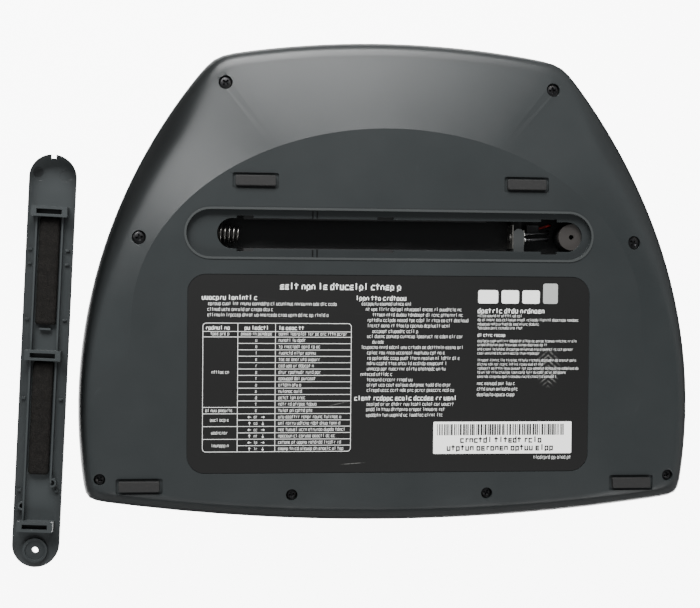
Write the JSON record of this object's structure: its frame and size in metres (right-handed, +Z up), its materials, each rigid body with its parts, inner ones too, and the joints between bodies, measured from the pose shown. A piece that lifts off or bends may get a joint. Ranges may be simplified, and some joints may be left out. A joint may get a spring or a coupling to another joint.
{
  "type": "portable word processor",
  "caption": "Wedge-shaped portable word processor with a full keyboard and a strip display, a battery bay in its underside and its bay cover lying beside it.",
  "frame": {"origin": "on the desk, under the middle of the box round the whole set: the machine on its four feet and its battery cover lying to the right of it", "axes": "+Z up out of the keyboard, +Y towards the display and the rear sockets, +X to the typist's right, where the cover lies"},
  "size_m": [0.3503, 0.2702, 0.0481],
  "materials": {
    "housing": "fine satin texture",
    "tray": "matt",
    "spring_steel": "bright",
    "nickel": "bright",
    "black_plastic": "satin",
    "red_cover": "satin",
    "black_cover": "satin",
    "screw_black": "black oxide",
    "foot_rubber": "matt",
    "label_black": "matt print",
    "sticker_white": "paper",
    "board": "solder mask",
    "screw_steel": "zinc",
    "frame_steel": "bright",
    "display": "reflective grey-green",
    "window": "clear",
    "bezel": "satin",
    "ribbon": "satin",
    "guide": "matt",
    "dome": "matt",
    "socket_metal": "bright",
    "infrared": "dark, see-through to infrared",
    "cover": "satin",
    "foam": "open cell foam",
    "key": "satin"
  },
  "bodies": {
    "device": {"lower_housing": "housing", "upper_housing": "housing", "battery_tray": "tray", "battery_spring": "spring_steel", "spring_plate": "nickel", "positive_contact": "nickel", "battery_plug": "black_plastic", "red_wire": "red_cover", "black_wires": "black_cover", "case_screws": "screw_black", "rear_feet": "foot_rubber", "front_feet": "foot_rubber", "reference_label": "label_black", "serial_label": "sticker_white", "main_board": "board", "board_screws": "screw_steel", "lcd_frame": "frame_steel", "lcd_panel": "display", "lcd_window": "window", "lcd_bezel": "bezel", "lcd_cable": "ribbon", "guide_plate": "guide", "dome_sheet": "dome", "key_board": "board", "coin_holder": "black_plastic", "coin_cell": "frame_steel", "usb_b_socket": "socket_metal", "usb_a_socket": "socket_metal", "dc_jack": "black_plastic", "ir_window": "infrared"},
    "cover": {"battery_cover": "cover", "foam_strips": "foam"},
    "control_key": {"control_key": "key"},
    "option_key": {"option_key": "key"},
    "command_key": {"command_key": "key"},
    "space_bar": {"space_bar": "key"},
    "modifier_key": {"modifier_key": "key"},
    "left_arrow_key": {"left_arrow_key": "key"},
    "up_arrow_key": {"up_arrow_key": "key"},
    "down_arrow_key": {"down_arrow_key": "key"},
    "right_arrow_key": {"right_arrow_key": "key"},
    "left_shift_key": {"left_shift_key": "key"},
    "lower_left_letters": {"lower_left_letters": "key"},
    "lower_right_letters": {"lower_right_letters": "key"},
    "right_shift_key": {"right_shift_key": "key"},
    "caps_lock_key": {"caps_lock_key": "key"},
    "home_left_letters": {"home_left_letters": "key"},
    "home_right_letters": {"home_right_letters": "key"},
    "enter_key": {"enter_key": "key"},
    "tab_key": {"tab_key": "key"},
    "upper_left_letters": {"upper_left_letters": "key"},
    "upper_right_letters": {"upper_right_letters": "key"},
    "backslash_key": {"backslash_key": "key"},
    "number_keys": {"number_keys": "key"},
    "backspace_key": {"backspace_key": "key"},
    "power_key": {"power_key": "key"},
    "file_keys": {"file_keys": "key"},
    "edit_keys": {"edit_keys": "key"},
    "send_key": {"send_key": "key"}
  },
  "joints": [
    {"name": "battery_cover_lift", "type": "slide", "parent": "device", "child": "cover", "axis": [0, 0, 1], "range_m": [0, 0.06]},
    {"name": "control_key_press", "type": "slide", "parent": "device", "child": "control_key", "axis": [0, 0.0872, -0.9962], "range_m": [0, 0.003], "stiffness_N_per_m": 150, "springref_m": -0.0015},
    {"name": "option_key_press", "type": "slide", "parent": "device", "child": "option_key", "axis": [0, 0.0872, -0.9962], "range_m": [0, 0.003], "stiffness_N_per_m": 150, "springref_m": -0.0015},
    {"name": "command_key_press", "type": "slide", "parent": "device", "child": "command_key", "axis": [0, 0.0872, -0.9962], "range_m": [0, 0.003], "stiffness_N_per_m": 150, "springref_m": -0.0015},
    {"name": "space_bar_press", "type": "slide", "parent": "device", "child": "space_bar", "axis": [0, 0.0872, -0.9962], "range_m": [0, 0.003], "stiffness_N_per_m": 150, "springref_m": -0.0015},
    {"name": "modifier_key_press", "type": "slide", "parent": "device", "child": "modifier_key", "axis": [0, 0.0872, -0.9962], "range_m": [0, 0.003], "stiffness_N_per_m": 150, "springref_m": -0.0015},
    {"name": "left_arrow_key_press", "type": "slide", "parent": "device", "child": "left_arrow_key", "axis": [0, 0.0872, -0.9962], "range_m": [0, 0.003], "stiffness_N_per_m": 150, "springref_m": -0.0015},
    {"name": "up_arrow_key_press", "type": "slide", "parent": "device", "child": "up_arrow_key", "axis": [0, 0.0872, -0.9962], "range_m": [0, 0.003], "stiffness_N_per_m": 150, "springref_m": -0.0015},
    {"name": "down_arrow_key_press", "type": "slide", "parent": "device", "child": "down_arrow_key", "axis": [0, 0.0872, -0.9962], "range_m": [0, 0.003], "stiffness_N_per_m": 150, "springref_m": -0.0015},
    {"name": "right_arrow_key_press", "type": "slide", "parent": "device", "child": "right_arrow_key", "axis": [0, 0.0872, -0.9962], "range_m": [0, 0.003], "stiffness_N_per_m": 150, "springref_m": -0.0015},
    {"name": "left_shift_key_press", "type": "slide", "parent": "device", "child": "left_shift_key", "axis": [0, 0.0872, -0.9962], "range_m": [0, 0.003], "stiffness_N_per_m": 150, "springref_m": -0.0015},
    {"name": "lower_left_letters_press", "type": "slide", "parent": "device", "child": "lower_left_letters", "axis": [0, 0.0872, -0.9962], "range_m": [0, 0.003], "stiffness_N_per_m": 750, "springref_m": -0.0015},
    {"name": "lower_right_letters_press", "type": "slide", "parent": "device", "child": "lower_right_letters", "axis": [0, 0.0872, -0.9962], "range_m": [0, 0.003], "stiffness_N_per_m": 750, "springref_m": -0.0015},
    {"name": "right_shift_key_press", "type": "slide", "parent": "device", "child": "right_shift_key", "axis": [0, 0.0872, -0.9962], "range_m": [0, 0.003], "stiffness_N_per_m": 150, "springref_m": -0.0015},
    {"name": "caps_lock_key_press", "type": "slide", "parent": "device", "child": "caps_lock_key", "axis": [0, 0.0872, -0.9962], "range_m": [0, 0.003], "stiffness_N_per_m": 150, "springref_m": -0.0015},
    {"name": "home_left_letters_press", "type": "slide", "parent": "device", "child": "home_left_letters", "axis": [0, 0.0872, -0.9962], "range_m": [0, 0.003], "stiffness_N_per_m": 750, "springref_m": -0.0015},
    {"name": "home_right_letters_press", "type": "slide", "parent": "device", "child": "home_right_letters", "axis": [0, 0.0872, -0.9962], "range_m": [0, 0.003], "stiffness_N_per_m": 900, "springref_m": -0.0015},
    {"name": "enter_key_press", "type": "slide", "parent": "device", "child": "enter_key", "axis": [0, 0.0872, -0.9962], "range_m": [0, 0.003], "stiffness_N_per_m": 150, "springref_m": -0.0015},
    {"name": "tab_key_press", "type": "slide", "parent": "device", "child": "tab_key", "axis": [0, 0.0872, -0.9962], "range_m": [0, 0.003], "stiffness_N_per_m": 150, "springref_m": -0.0015},
    {"name": "upper_left_letters_press", "type": "slide", "parent": "device", "child": "upper_left_letters", "axis": [0, 0.0872, -0.9962], "range_m": [0, 0.003], "stiffness_N_per_m": 750, "springref_m": -0.0015},
    {"name": "upper_right_letters_press", "type": "slide", "parent": "device", "child": "upper_right_letters", "axis": [0, 0.0872, -0.9962], "range_m": [0, 0.003], "stiffness_N_per_m": 1050, "springref_m": -0.0015},
    {"name": "backslash_key_press", "type": "slide", "parent": "device", "child": "backslash_key", "axis": [0, 0.0872, -0.9962], "range_m": [0, 0.003], "stiffness_N_per_m": 150, "springref_m": -0.0015},
    {"name": "number_keys_press", "type": "slide", "parent": "device", "child": "number_keys", "axis": [0, 0.0872, -0.9962], "range_m": [0, 0.003], "stiffness_N_per_m": 1950, "springref_m": -0.0015},
    {"name": "backspace_key_press", "type": "slide", "parent": "device", "child": "backspace_key", "axis": [0, 0.0872, -0.9962], "range_m": [0, 0.003], "stiffness_N_per_m": 150, "springref_m": -0.0015},
    {"name": "power_key_press", "type": "slide", "parent": "device", "child": "power_key", "axis": [0, 0.0872, -0.9962], "range_m": [0, 0.003], "stiffness_N_per_m": 150, "springref_m": -0.0015},
    {"name": "file_keys_press", "type": "slide", "parent": "device", "child": "file_keys", "axis": [0, 0.0872, -0.9962], "range_m": [0, 0.003], "stiffness_N_per_m": 1200, "springref_m": -0.0015},
    {"name": "edit_keys_press", "type": "slide", "parent": "device", "child": "edit_keys", "axis": [0, 0.0872, -0.9962], "range_m": [0, 0.003], "stiffness_N_per_m": 750, "springref_m": -0.0015},
    {"name": "send_key_press", "type": "slide", "parent": "device", "child": "send_key", "axis": [0, 0.0872, -0.9962], "range_m": [0, 0.003], "stiffness_N_per_m": 150, "springref_m": -0.0015}
  ]
}
